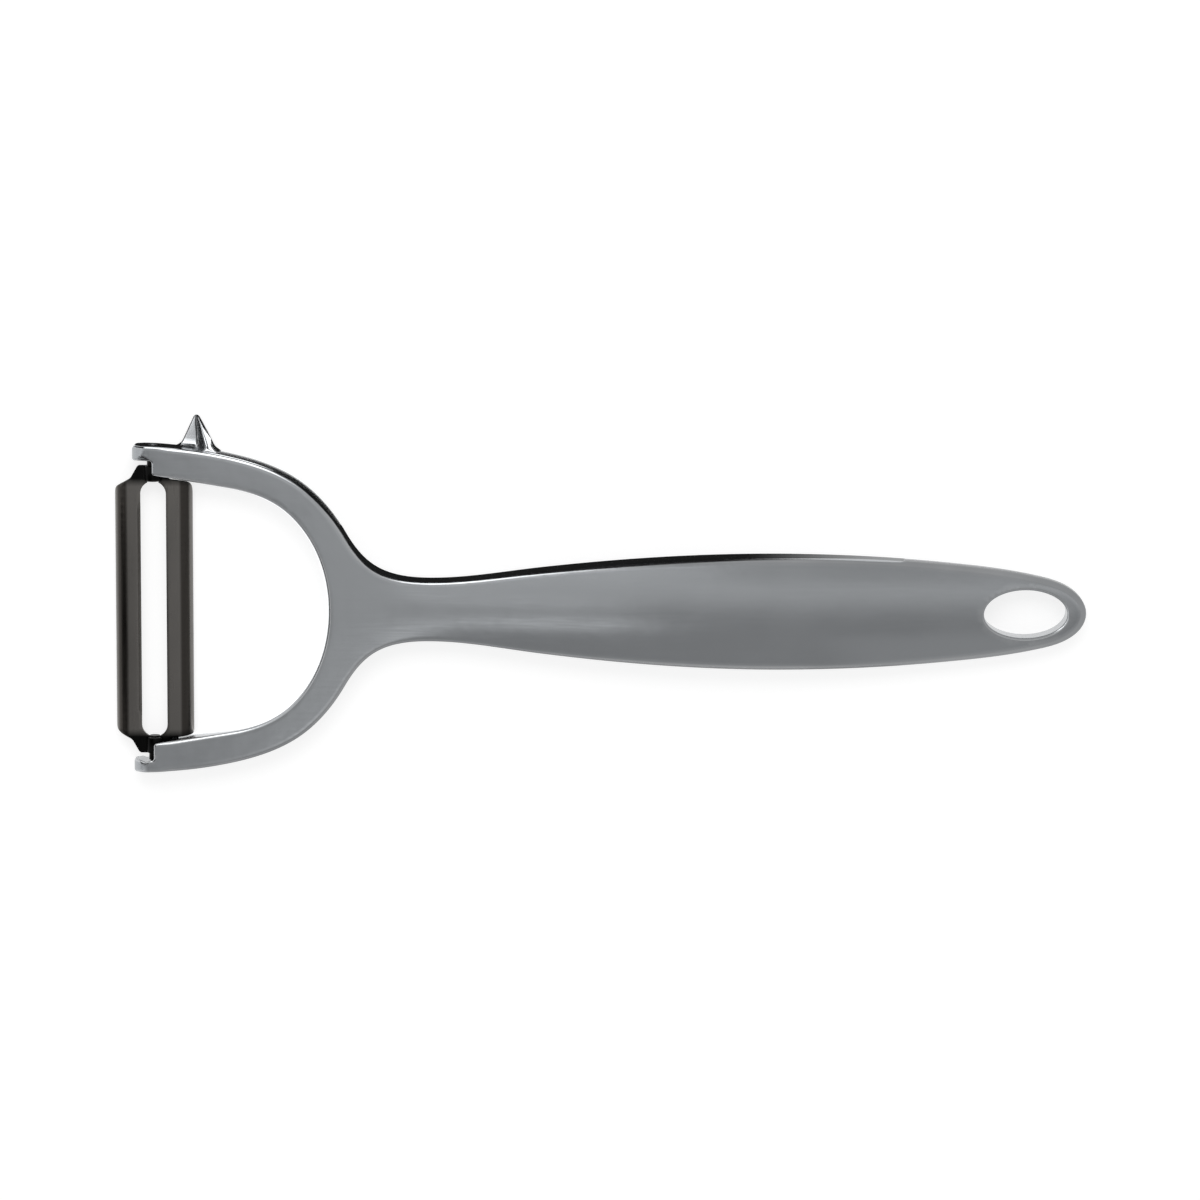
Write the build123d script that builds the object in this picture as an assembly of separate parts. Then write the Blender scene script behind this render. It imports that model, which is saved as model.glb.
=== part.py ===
from build123d import *
import os
from math import cos, pi, radians, sin

# Vegetable peeler with a swinging twin-edge blade, lying on its back. Millimetres.
# X runs from the blade to the handle's tip, Y runs across the fork, Z out of the flat back.

# Whole tool
overall_length = 180.0
cut_overrun = 1.0

# Blade, one stamped stainless strip with both long edges bent back
blade_width = 14.4
blade_sheet = 0.8
slot_width = 4.75
slot_length = 48.0
front_corner_setback = 1.55
back_corner_setback = 0.5
front_shoulder_rise = 2.1
front_corner_radius = 1.6
back_corner_radius = 1.0
lip_bend_radius = 2.4
bevel_width = 0.5
bevel_land = 0.15
neck_reach = 3.0
neck_width = 5.6
neck_taper = 1.4
neck_corner_radius = 0.7
neck_root_radius = 0.6
barrel_radius = 1.6
blade_slide = 0.25

# Pivot pins, hard steel, tight in the blade's barrels and free in the lugs
pin_radius = 1.1
pin_length = 6.5
pin_running_gap = 0.05
pin_bevel = 0.2
lower_pin_reach = 0.3

# Fork
lug_thickness = 2.3
lug_nose = 3.8
lug_nose_radius = 2.8
lug_end_play = 1.3
shoulder_gap = 1.7
fork_depth = 32.4
fork_thickness = 6.0
stop_pocket_height = 3.8
stop_pocket_reach = 4.4

# Handle
neck_run = 18.9
neck_girth = 11.2
grip_girth = 21.1
swell_start = 4.4
grip_swell = 2.3
tip_thickness = 5.2
crown_radius = 30.0
crown_reach = 25.0
crown_run = 21.0
front_edge_round = 0.7
back_edge_round = 1.0
hole_length = 15.4
hole_width = 8.9
hole_rim = 3.6
hole_edge_round = 0.5

# Eye remover, a hollow-sided spur on the upper arm
spur_start = 4.9
spur_length = 6.8
spur_height = 5.3
spur_root = 1.2
spur_depth = 5.1
spur_step = 0.35
spur_web = 0.9
spur_tip_width = 0.7

# Outline stations: share along, share across and the heading in degrees
outer_fork_shares = [
    (0.0, 1.0, 0.0),
    (0.296, 0.940, -11.0),
    (0.530, 0.765, -30.0),
    (0.713, 0.339, -60.0),
    (0.795, 0.116, -38.0),
    (1.0, 0.0, 0.0),
]
handle_shares = [
    (0.167, 0.730, 6.8),
    (0.531, 1.0, 0.0),
    (0.775, 0.877, -5.2),
    (0.918, 0.659, -12.0),
    (0.979, 0.408, -36.0),
    (1.0, 0.0, -90.0),
]
inner_fork_shares = [
    (0.0, 1.0, -9.5),
    (0.441, 0.905, -9.5),
    (0.784, 0.704, -44.0),
    (1.0, 0.0, -90.0),
]

# The spur's section, from its hollow side round to its back: share along and share of its depth
spur_ridge_shares = [
    (0.59, 0.0),
    (0.59, 0.18),
    (0.74, 1.0),
    (0.86, 0.94),
    (1.0, 0.4),
    (1.0, 0.0),
]
spur_tip_share = 0.44

# Points along and across the front of the casting, whose surface is a formula
front_columns = 25
front_rows = 13
surface_tolerance = 0.001

# Places that follow from the sizes
tip_x = overall_length / 2
pivot_x = blade_width / 2 - tip_x
pivot_z = fork_thickness / 2
lug_x = pivot_x - lug_nose
crotch_x = pivot_x + fork_depth
web_x = crotch_x + swell_start
neck_x = crotch_x + neck_run
hole_x = tip_x - hole_rim - hole_length / 2
shoulder_y = slot_length / 2 - back_corner_setback
neck_end_y = slot_length / 2 + neck_reach
neck_half = neck_girth / 2
grip_half = grip_girth / 2
lug_inner_y = neck_end_y + lug_end_play
fork_half = lug_inner_y + lug_thickness
arm_inner_y = shoulder_y + shoulder_gap
top_z = fork_thickness + grip_swell + cut_overrun


def smooth_chain(stations):
    """Curves through stations of x, y and heading, each as round as its turn allows."""
    curves = []
    for (x0, y0, heading0), (x1, y1, heading1) in zip(stations, stations[1:]):
        start = Vector(x0, y0)
        end = Vector(x1, y1)
        ease = 3 * cos(radians(heading1 - heading0) / 4) ** 2
        reach = (end - start).length / ease
        leave = Vector(cos(radians(heading0)), sin(radians(heading0))) * reach
        arrive = Vector(cos(radians(heading1)), sin(radians(heading1))) * reach
        curves.append(Bezier(start, start + leave, end - arrive, end))
    return curves


def stations(shares, start_x, end_x, low_y, high_y):
    """Stations of x, y and heading, from their shares of a length and of a height."""
    return [
        (start_x + along * (end_x - start_x), low_y + across * (high_y - low_y), heading)
        for along, across, heading in shares
    ]


def across(profile, near_y, far_y):
    """A solid whose profile lies in X and Z, from one place to another along Y."""
    return Pos(0, near_y, 0) * extrude(Plane.XZ * profile, amount=near_y - far_y)


def rod(radius, near_y, far_y):
    """A round bar along the pivot's axis."""
    return across(Pos(pivot_x, pivot_z) * Circle(radius), near_y, far_y)


# The casting's outline from the front: the upper half, and the same below
def casting_outline():
    outer = stations(outer_fork_shares, lug_x, neck_x, neck_half, fork_half)
    grip = stations(handle_shares, neck_x, tip_x, 0, grip_half)
    inner = stations(inner_fork_shares, pivot_x, crotch_x, 0, arm_inner_y)
    lug = Polyline(
        (pivot_x, arm_inner_y),
        (pivot_x, lug_inner_y),
        (lug_x, lug_inner_y),
        (lug_x, fork_half),
    )
    upper = smooth_chain(outer + grip) + smooth_chain(inner) + lug.edges()
    lower = [edge.mirror(Plane.XZ) for edge in upper]
    return make_face(upper + lower)


def front_height(x, y):
    """The casting's front: flat on the fork, swelling and crowned along the handle."""
    along = min(max((x - web_x) / (tip_x - web_x), 0), 1)
    ridge = fork_thickness + (tip_thickness - fork_thickness) * along ** 3
    ridge += grip_swell * sin(pi * along) ** 2
    fade = min(max((x - web_x) / crown_run, 0), 1)
    fade = fade * fade * (3 - 2 * fade)
    fall = y * y / (1 + (y / crown_reach) ** 2)
    return ridge - fade * fall / (2 * crown_radius)


def behind_front():
    """All that lies behind the casting's front surface."""
    start = lug_x - cut_overrun
    run = tip_x + cut_overrun - start
    side = fork_half + cut_overrun
    columns = [start + run * column / (front_columns - 1) for column in range(front_columns)]
    rows = [side * (2 * row / (front_rows - 1) - 1) for row in range(front_rows)]
    points = [[(x, y, front_height(x, y)) for y in rows] for x in columns]
    surface = Face.make_surface_from_array_of_points(points, tol=surface_tolerance)
    return Solid.extrude(surface, Vector(0, 0, -2 * top_z))


# Spur: a ridge as deep as the arm, and a thin web that leaves its side hollow
def spur():
    start = pivot_x + spur_start
    foot_y = fork_half - spur_root
    point_y = fork_half + spur_height
    point_x = start + spur_tip_share * spur_length
    tip_scale = spur_tip_width / spur_length
    foot = [(start + along * spur_length, deep * spur_depth) for along, deep in spur_ridge_shares]
    point = [
        (point_x + tip_scale * (x - point_x), z * spur_web / spur_depth)
        for x, z in foot
    ]
    ridge = loft([
        Pos(0, foot_y, spur_step) * (Plane.XZ * make_face(Polyline(*foot, close=True))),
        Pos(0, point_y, spur_step) * (Plane.XZ * make_face(Polyline(*point, close=True))),
    ])
    web = make_face(Polyline(
        (start, foot_y),
        (start + spur_length, foot_y),
        (point_x + spur_tip_width / 2, point_y),
        (point_x - spur_tip_width / 2, point_y),
        close=True,
    ))
    return ridge + Pos(0, 0, spur_step) * extrude(web, amount=spur_web)


def lug_noses():
    """What is cut away above and below the lugs' rounded ends."""
    reach = 2 * lug_nose_radius
    room = Pos(lug_x, pivot_z) * Rectangle(reach, fork_thickness + 2 * cut_overrun)
    nose = Pos(lug_x + reach, pivot_z) * RectangleRounded(
        2 * reach, fork_thickness, lug_nose_radius
    )
    return across(room - nose, -fork_half - cut_overrun, fork_half + cut_overrun)


def long_edges(face):
    """A flat side's edges along the arms and the handle, without those of the lugs' steps."""
    return [edge for edge in face.edges() if edge.bounding_box().max.X > pivot_x + cut_overrun]


def rings_hole(edge):
    """Whether an edge is one of the two round the hanging hole."""
    box = edge.bounding_box()
    return abs(box.center().X - hole_x) < hole_rim and box.size.X < hole_length + hole_rim


def casting():
    body = extrude(casting_outline(), amount=top_z) & behind_front()
    body = fillet(long_edges(body.faces().sort_by(Axis.Z)[-1]), front_edge_round)
    body = fillet(long_edges(body.faces().sort_by(Axis.Z)[0]), back_edge_round)
    body -= lug_noses()
    pocket = Rectangle(cut_overrun + stop_pocket_reach, stop_pocket_height)
    pocket_x = pivot_x + (stop_pocket_reach - cut_overrun) / 2
    body -= across(Pos(pocket_x, pivot_z) * pocket, -lug_inner_y, lug_inner_y)
    body -= rod(pin_radius + pin_running_gap, -fork_half - cut_overrun, fork_half + cut_overrun)
    body += spur()
    body -= extrude(Pos(hole_x, 0) * Ellipse(hole_length / 2, hole_width / 2), amount=top_z)
    return fillet([edge for edge in body.edges() if rings_hole(edge)], hole_edge_round)


# Blade
def blade_outline():
    front = -blade_width / 2
    back = blade_width / 2
    neck = neck_width / 2
    edge_y = slot_length / 2 - front_corner_setback
    root_y = edge_y + front_shoulder_rise
    corners = [
        (front, edge_y, front_corner_radius),
        (-neck - neck_taper, root_y, neck_taper),
        (-neck, neck_end_y, neck_corner_radius),
        (neck, neck_end_y, neck_corner_radius),
        (neck, shoulder_y, neck_root_radius),
        (back, shoulder_y, back_corner_radius),
    ]
    corners += [(x, -y, radius) for x, y, radius in reversed(corners)]
    points = [(x, y) for x, y, radius in corners]
    radii = [radius for x, y, radius in corners]
    return make_face(FilletPolyline(*points, radius=radii, close=True))


def blade_section():
    """Flat beside the slot, with a quarter bend along each long edge."""
    flat = blade_width - 2 * lip_bend_radius
    section = Rectangle(flat, blade_sheet)
    ring = Circle(lip_bend_radius) - Circle(lip_bend_radius - blade_sheet)
    quarter = Pos(lip_bend_radius / 2, lip_bend_radius / 2) * Rectangle(
        lip_bend_radius, lip_bend_radius
    )
    bend = Pos(flat / 2, blade_sheet / 2 - lip_bend_radius) * (ring & quarter)
    return section + bend + mirror(bend, Plane.YZ)


def bevel(side):
    """The ground edge of the slot: on the front for one side, on the back for the other."""
    edge = side * slot_width / 2
    face = -side * blade_sheet / 2
    land_z = -face - side * bevel_land
    return make_face(Polyline(
        (edge + side * bevel_width, face),
        (edge, land_z),
        (edge - side * bevel_width, land_z),
        (edge - side * bevel_width, face),
        close=True,
    ))


def blade():
    sheet = across(Pos(pivot_x, pivot_z) * blade_section(), -neck_end_y, neck_end_y)
    sheet &= extrude(Pos(pivot_x, 0) * blade_outline(), amount=fork_thickness)
    sheet += rod(barrel_radius, slot_length / 2, neck_end_y)
    sheet += rod(barrel_radius, -neck_end_y, -slot_length / 2)
    slot = SlotOverall(slot_length, slot_width, rotation=90)
    sheet -= extrude(Pos(pivot_x, 0) * slot, amount=fork_thickness)
    sheet -= rod(pin_radius, slot_length / 2 - cut_overrun, neck_end_y + cut_overrun)
    sheet -= rod(pin_radius, -neck_end_y - cut_overrun, cut_overrun - slot_length / 2)
    ground = (slot_length - slot_width) / 2
    for side in (-1, 1):
        sheet -= across(Pos(pivot_x, pivot_z) * bevel(side), -ground, ground)
    return Pos(0, -blade_slide, 0) * sheet


def pin(inner_y, outer_y):
    shaft = rod(pin_radius, inner_y, outer_y)
    return chamfer(shaft.edges().filter_by(GeomType.CIRCLE), pin_bevel)


upper_inner_y = slot_length / 2 - blade_slide
lower_inner_y = lower_pin_reach - blade_slide - slot_length / 2
nodes = {
    "handle_casting": casting(),
    "swivel_blade": blade(),
    "upper_pivot_pin": pin(upper_inner_y, upper_inner_y + pin_length),
    "lower_pivot_pin": pin(lower_inner_y - pin_length, lower_inner_y),
}
os.makedirs("parts", exist_ok=True)
for name, shape in nodes.items():
    export_step(shape, f"parts/{name}.step")
    print(name, round(shape.volume, 1), shape.is_valid)
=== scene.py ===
from math import ceil, cos, hypot, pi, radians, sin, sqrt, tan

import bmesh
import bpy
from mathutils import Matrix, Vector
from mathutils.geometry import delaunay_2d_cdt
from mathutils.kdtree import KDTree


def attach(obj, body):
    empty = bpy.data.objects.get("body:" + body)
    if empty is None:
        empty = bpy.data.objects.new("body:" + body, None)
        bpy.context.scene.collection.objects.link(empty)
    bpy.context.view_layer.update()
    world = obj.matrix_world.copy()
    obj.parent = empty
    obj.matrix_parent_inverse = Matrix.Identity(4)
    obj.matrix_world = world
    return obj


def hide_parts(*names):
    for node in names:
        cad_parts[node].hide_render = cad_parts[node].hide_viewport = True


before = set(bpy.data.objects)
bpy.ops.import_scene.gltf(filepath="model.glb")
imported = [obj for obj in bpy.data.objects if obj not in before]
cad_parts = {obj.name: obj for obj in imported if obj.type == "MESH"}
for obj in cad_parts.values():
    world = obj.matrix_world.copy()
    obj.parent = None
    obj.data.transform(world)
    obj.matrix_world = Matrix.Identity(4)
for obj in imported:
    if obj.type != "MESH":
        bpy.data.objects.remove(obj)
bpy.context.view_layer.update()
mm = 0.001


# The casting: handle, fork and lugs in one piece of zinc alloy, die cast, its edges tumbled round.
# It is polished and plated in dark chrome. The pin holes are drilled through the lugs afterwards.
overall_length = 180.0
fork_thickness = 6.0
tip_thickness = 5.2
swell = 2.3
lug_reach = 3.8
fork_depth = 32.4
web_width = 4.4
neck_reach = 18.9
tip_x = overall_length / 2
pivot_x = -82.8
pivot_z = fork_thickness / 2
lug_x = pivot_x - lug_reach
crotch_x = pivot_x + fork_depth
web_x = crotch_x + web_width
neck_x = crotch_x + neck_reach
neck_half = 5.6
grip_half = 10.55
lug_inner_y = 28.3
fork_half = 30.6
arm_inner_y = 25.2
arm_heading = -9.5
hole_x = 78.7
hole_half_length = 7.7
hole_half_width = 4.45

# Outline stations: share along, share across and the heading in degrees
outer_fork_shares = [
    (0.0, 1.0, 0.0),
    (0.296, 0.940, -11.0),
    (0.530, 0.765, -30.0),
    (0.713, 0.339, -60.0),
    (0.795, 0.116, -38.0),
    (1.0, 0.0, 0.0),
]
handle_shares = [
    (0.167, 0.730, 6.8),
    (0.531, 1.0, 0.0),
    (0.775, 0.877, -5.2),
    (0.918, 0.659, -12.0),
    (0.979, 0.408, -36.0),
    (1.0, 0.0, -90.0),
]
inner_fork_shares = [
    (0.0, 1.0, arm_heading),
    (0.441, 0.905, arm_heading),
    (0.784, 0.704, -44.0),
    (1.0, 0.0, -90.0),
]


def stations(shares, start_x, end_x, low_y, high_y):
    """Places along an outline, in millimetres, from a table of shares."""
    return [
        (start_x + along * (end_x - start_x), low_y + across * (high_y - low_y), heading)
        for along, across, heading in shares
    ]


def ease(value):
    """A smooth step from 0 to 1."""
    value = min(max(value, 0.0), 1.0)
    return value * value * (3 - 2 * value)


def smooth_points(stops, spacing):
    """Points along curves through stops of x, y and heading."""
    points = []
    for (x0, y0, heading0), (x1, y1, heading1) in zip(stops, stops[1:]):
        start = Vector((x0, y0))
        end = Vector((x1, y1))
        reach = (end - start).length / (3 * cos(radians(heading1 - heading0) / 4) ** 2)
        near = start + Vector((cos(radians(heading0)), sin(radians(heading0)))) * reach
        far = end - Vector((cos(radians(heading1)), sin(radians(heading1)))) * reach
        steps = ceil((end - start).length / spacing)
        for step in range(steps):
            t = step / steps
            points.append(
                start * (1 - t) ** 3 + near * 3 * t * (1 - t) ** 2
                + far * 3 * t * t * (1 - t) + end * t ** 3
            )
    points.append(Vector(stops[-1][:2]))
    return points


def round_corner(corner, heading_in, heading_out, radius, steps):
    """Points of an arc that rounds a corner between two headings."""
    turn = heading_out - heading_in
    side = 1 if turn > 0 else -1
    reach = radius * tan(radians(abs(turn)) / 2)
    inward = Vector((cos(radians(heading_in)), sin(radians(heading_in))))
    start = Vector(corner) - inward * reach
    centre = start + Vector((-inward.y, inward.x)) * radius * side
    points = []
    for step in range(steps + 1):
        angle = radians(heading_in + turn * step / steps - 90 * side)
        points.append(centre + Vector((cos(angle), sin(angle))) * radius)
    return points


upper_lug_round = 0.9
lower_lug_round = 0.45
lug_inner_round = 0.42
step_round = 0.4
arm_corner_round = 0.55
upper_lug_extra = 0.5
scallop_half = 1.15
scallop_depth = 0.3
scallop_steps = 12
point_spacing = 0.8
lug_point_spacing = 0.25
outer_line = smooth_points(
    stations(outer_fork_shares, lug_x, neck_x, neck_half, fork_half)
    + stations(handle_shares, neck_x, tip_x, 0, grip_half),
    point_spacing,
)
inner_line = smooth_points(
    stations(inner_fork_shares, pivot_x, crotch_x, 0, arm_inner_y), point_spacing
)
scallop_x = pivot_x - step_round - scallop_half
scallop = []
for step in range(scallop_steps + 1):
    along = 2 * step / scallop_steps - 1
    dip = scallop_depth * (1 + cos(pi * along)) / 2
    scallop.append(Vector((scallop_x + along * scallop_half, lug_inner_y + dip)))
lug_line = smooth_points(
    stations(outer_fork_shares, lug_x, neck_x, neck_half, fork_half)[:2], lug_point_spacing
)


def arm_outside(corner_round):
    """The outer side of the handle, an arm and its lug, from the tip to the lug's end."""
    line = [point for point in reversed(outer_line) if point.x > pivot_x]
    line += [p for p in reversed(lug_line) if lug_x + corner_round < p.x < pivot_x]
    return line + round_corner((lug_x, fork_half), 180, 270, corner_round, steps=10)


def arm_inside(lug_y, hollow):
    """The inner side of a lug and its arm, with the lug's own hollow."""
    line = round_corner((lug_x, lug_y), -90, 0, lug_inner_round, steps=8) + hollow
    line += round_corner((pivot_x, lug_y), 0, -90, step_round, steps=6)
    line += round_corner((pivot_x, arm_inner_y), -90, arm_heading, arm_corner_round, steps=8)
    return line + [point for point in inner_line if point.x > pivot_x + point_spacing]


def mirrored(line):
    """A line on the other side of the handle's centre line, in reverse order."""
    return [Vector((point.x, -point.y)) for point in reversed(line)]


upper_line = arm_outside(upper_lug_round) + arm_inside(lug_inner_y - upper_lug_extra, [])
lower_line = arm_outside(lower_lug_round) + arm_inside(lug_inner_y, scallop[:-1])
casting_line = upper_line + mirrored(lower_line[1:-1])

nose_radius = 2.9
nose_reach = 2.85
nose_flat = 0.1


def nose_height(x):
    """Half the lug's thickness, which its rounded nose brings down at the end."""
    reach = lug_x + nose_reach - x
    if reach <= 0:
        return pivot_z
    return sqrt(nose_radius ** 2 - min(reach, nose_reach) ** 2) + nose_flat


crown_run = 21.0
crown_spread = 25.0
crown_radius = 30.0


def front_height(x, y):
    """The casting's front: flat on the fork, swelling and crowned along the handle."""
    along = min(max((x - web_x) / (tip_x - web_x), 0), 1)
    taper = (tip_thickness - fork_thickness) * along ** 3
    ridge = fork_thickness + taper + swell * sin(pi * along) ** 2
    crown_share = ease((x - web_x) / crown_run) / (1 + (y / crown_spread) ** 2)
    crown = crown_share * y * y / (2 * crown_radius)
    return ridge - crown - (pivot_z - nose_height(x))


def back_height(x, y):
    """The casting's flat back, and the underside of the lugs' noses."""
    return pivot_z - nose_height(x)


def tilt(height, x, y, sign):
    """The outward unit normal of a front or back surface."""
    step = 0.02
    rise_x = (height(x + step, y) - height(x - step, y)) / (2 * step)
    rise_y = (height(x, y + step) - height(x, y - step)) / (2 * step)
    return Vector((-rise_x, -rise_y, 1)).normalized() * sign


lug_edge_round = 0.35
arm_edge_extra = 0.3
arm_edge_start = 0.5
arm_edge_run = 3.0
grip_edge_extra = 0.6
grip_edge_run = 60.0
hole_edge_round = 0.5


def edge_round(x, y):
    """The edges' radius: tight on the lugs, worn fuller along the grip."""
    arms = lug_edge_round + arm_edge_extra * ease((x - pivot_x - arm_edge_start) / arm_edge_run)
    return arms + grip_edge_extra * ease((x - neck_x) / grip_edge_run)


def hole_round(x, y):
    """The radius of the hole's rims, the same all round."""
    return hole_edge_round


edge_wear_share = 1.0
side_wear_share = 0.4


def rounded_wall(mesh, wear, line, heights, radius_at, turns):
    """A wall round a closed line, its front and back edges rounded in a number of turns.

    Returns the rings where the wall meets the back and the front.
    """
    rings = []
    count = len(line)
    for index, point in enumerate(line):
        along = line[(index + 1) % count] - line[index - 1]
        wall = Vector((along.y, -along.x, 0)).normalized()
        radius = radius_at(point.x, point.y)
        ring = []
        for height, sign in zip(heights, (-1, 1)):
            face = tilt(height, point.x, point.y, sign)
            corner = Vector((point.x, point.y, height(point.x, point.y)))
            centre = corner - (wall + face) * radius / (1 + wall.dot(face))
            arc = [
                centre + (wall * cos(a) + face * sin(a)) * radius
                / (wall * cos(a) + face * sin(a)).length
                for a in (pi / 2 * turn / turns for turn in range(turns + 1))
            ]
            ring += arc if sign > 0 else arc[::-1]
        rings.append([mesh.verts.new(spot) for spot in ring])
    size = len(rings[0])
    for index, ring in enumerate(rings):
        after = rings[(index + 1) % count]
        for step in range(size - 1):
            mesh.faces.new((ring[step], after[step], after[step + 1], ring[step + 1]))
        for step, vertex in enumerate(ring):
            on_edge = 0 < step < size - 1 and step not in (turns, turns + 1)
            vertex[wear] = edge_wear_share if on_edge else side_wear_share
    return [ring[0] for ring in rings], [ring[-1] for ring in rings]


def search_tree(spots):
    """A tree that finds the spot nearest to a place."""
    tree = KDTree(len(spots))
    for index, spot in enumerate(spots):
        tree.insert((spot.x, spot.y, 0), index)
    tree.balance()
    return tree


first_column_gap = 0.2
border_clearance = 0.9
weld_distance = 1e-7


def cap(mesh, loops, height, front, inside, columns, spacing, border=0):
    """Fills the space between loops with small triangles that lie on a height.

    The border is the width of an even strip of triangles inside the first loop.
    """
    spots = []
    edges = []
    for loop in loops:
        first = len(spots)
        spots += [vertex.co.to_2d() for vertex in loop]
        edges += [(first + k, first + (k + 1) % len(loop)) for k in range(len(loop))]
    owners = [vertex for loop in loops for vertex in loop]
    tree = search_tree(spots)
    if border:
        rim_spots = spots[:len(loops[0])]
        last = None
        for index, spot in enumerate(rim_spots):
            along = rim_spots[(index + 1) % len(rim_spots)] - rim_spots[index - 1]
            inner = spot - Vector((along.y, -along.x)).normalized() * border
            clear = tree.find((*inner, 0))[2] > border * border_clearance
            clear = clear and inside(inner.x, inner.y)
            if clear and (last is None or (inner - last).length > border / 2):
                spots.append(inner)
                owners.append(None)
                last = inner
        tree = search_tree(spots)
    high_y = max(spot.y for spot in spots)
    for number, x in enumerate(columns):
        apart = spacing(x)
        rows = ceil(2 * high_y / apart)
        for row in range(rows + 1):
            y = (row - rows / 2 + (number % 2) / 2) * apart
            near = first_column_gap
            if number:
                near = min(columns[number] - columns[number - 1], apart) / 2
            if inside(x, y) and tree.find((x, y, 0))[2] > near:
                spots.append(Vector((x, y)))
                owners.append(None)
    places, _, faces, sources, _, _ = delaunay_2d_cdt(spots, edges, [], 0, weld_distance)
    made = []
    for spot, source in zip(places, sources):
        owner = owners[source[0]] if source else None
        made.append(owner or mesh.verts.new((spot.x, spot.y, height(spot.x, spot.y))))
    for face in faces:
        middle = sum((places[k] for k in face), Vector((0, 0))) / len(face)
        if inside(middle.x, middle.y):
            corners = [made[k] for k in face]
            mesh.faces.new(corners if front else corners[::-1])


def inside_line(line, x, y):
    """Whether a spot lies inside a closed line."""
    hits = False
    for a, b in zip(line, line[1:] + line[:1]):
        if (a.y > y) != (b.y > y) and x < a.x + (y - a.y) / (b.y - a.y) * (b.x - a.x):
            hits = not hits
    return hits


def finish_mesh(mesh, name, sharp=35):
    """Turns a mesh in millimetres into an object, smooth but for its sharp edges."""
    bmesh.ops.scale(mesh, vec=(mm, mm, mm), verts=mesh.verts)
    for face in mesh.faces:
        face.smooth = True
    for edge in mesh.edges:
        edge.smooth = edge.is_manifold and edge.calc_face_angle(0) < radians(sharp)
    data = bpy.data.meshes.new(name)
    mesh.to_mesh(data)
    mesh.free()
    piece = bpy.data.objects.new(name, data)
    bpy.context.scene.collection.objects.link(piece)
    return piece


casting_mesh = bmesh.new()
casting_wear = casting_mesh.verts.layers.float.new("edge_wear")
hole_steps = 96
hole_line = []
for step in range(hole_steps):
    angle = -2 * pi * step / hole_steps
    hole_line.append(Vector((
        hole_x + hole_half_length * cos(angle), hole_half_width * sin(angle),
    )))
heights = (back_height, front_height)
back_rim, front_rim = rounded_wall(
    casting_mesh, casting_wear, casting_line, heights, edge_round, turns=6
)
back_hole, front_hole = rounded_wall(
    casting_mesh, casting_wear, hole_line, heights, hole_round, turns=5
)
nose_row_spacing = 0.42
row_spacing = 1.25
column_spacing = 1.1
rim_border = 0.55
hole_margin = 0.3


def casting_spacing(x):
    """Closer rows on the lugs' curved noses."""
    return nose_row_spacing if x < pivot_x else row_spacing


# Columns at every 8 degrees of the noses' curve, then evenly to the tip
cap_columns = [lug_x + nose_reach - nose_radius * sin(radians(a)) for a in range(74, 10, -8)]
while cap_columns[-1] < tip_x:
    cap_columns.append(cap_columns[-1] + column_spacing)
for rim, hole, height in (
    (front_rim, front_hole, front_height), (back_rim, back_hole, back_height),
):
    rim_line = [vertex.co.to_2d() for vertex in rim]

    def on_casting(x, y):
        along = (x - hole_x) / (hole_half_length + hole_margin)
        across = y / (hole_half_width + hole_margin)
        return hypot(along, across) >= 1 and inside_line(rim_line, x, y)

    cap(
        casting_mesh, [rim, hole], height, height is front_height, on_casting, cap_columns,
        casting_spacing, rim_border,
    )

# The smooth outline and the rounded noses stay within the fork's width and above its back
for vertex in casting_mesh.verts:
    vertex.co.y = min(max(vertex.co.y, -fork_half), fork_half)
    vertex.co.z = max(vertex.co.z, 0)
handle = finish_mesh(casting_mesh, "plated_handle_casting")

# The spur for eyes and bruises, cast with the upper arm. Its section runs along its back, up the
# ridge and down to the thin web beside it: share along, share of the depth and corner radius.
spur_start = 4.9
spur_length = 6.8
spur_height = 5.3
spur_depth = 5.25
spur_foot_z = 0.35
spur_low_z = 0.2
spur_high_z = 5.3
spur_tip_width = 0.75
spur_tip_depth = 1.2
spur_tip_back = 0.33
spur_tip_share = 0.44
spur_flare = 0.75
flare_share = 0.16
blunt_start_share = 0.94
blunt_run_share = 0.06
spur_wear_share = 0.6
side_limit = 0.48
spur_x = pivot_x + spur_start
spur_point = Vector((spur_x + spur_tip_share * spur_length, fork_half + spur_height))
spur_section_shares = [
    (0.0, 0.0, 0.12),
    (1.0, 0.0, 0.3),
    (1.0, 0.45, 0.7),
    (0.90, 0.93, 0.9),
    (0.77, 0.97, 0.6),
    (0.50, 0.2, 0.6),
    (0.0, 0.176, 0.3),
]


def soft_section(corners, steps=5):
    """A closed section with each corner rounded by its own radius.

    A radius takes up less than half of a side, so that two corners never meet.
    """
    points = []
    count = len(corners)
    for index, (x, z, radius) in enumerate(corners):
        here = Vector((x, z))
        before = Vector(corners[index - 1][:2])
        after = Vector(corners[(index + 1) % count][:2])
        back = before - here
        ahead = after - here
        near = here + back.normalized() * min(radius, back.length * side_limit)
        far = here + ahead.normalized() * min(radius, ahead.length * side_limit)
        for step in range(steps + 1):
            t = step / steps
            points.append(near * (1 - t) ** 2 + here * 2 * t * (1 - t) + far * t ** 2)
    return points


def wall_y(x):
    """Where the fork's outer side stands at a place along it."""
    after = next(k for k, point in enumerate(outer_line) if point.x > x)
    a, b = outer_line[after - 1], outer_line[after]
    return a.y + (b.y - a.y) * (x - a.x) / (b.x - a.x)


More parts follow.
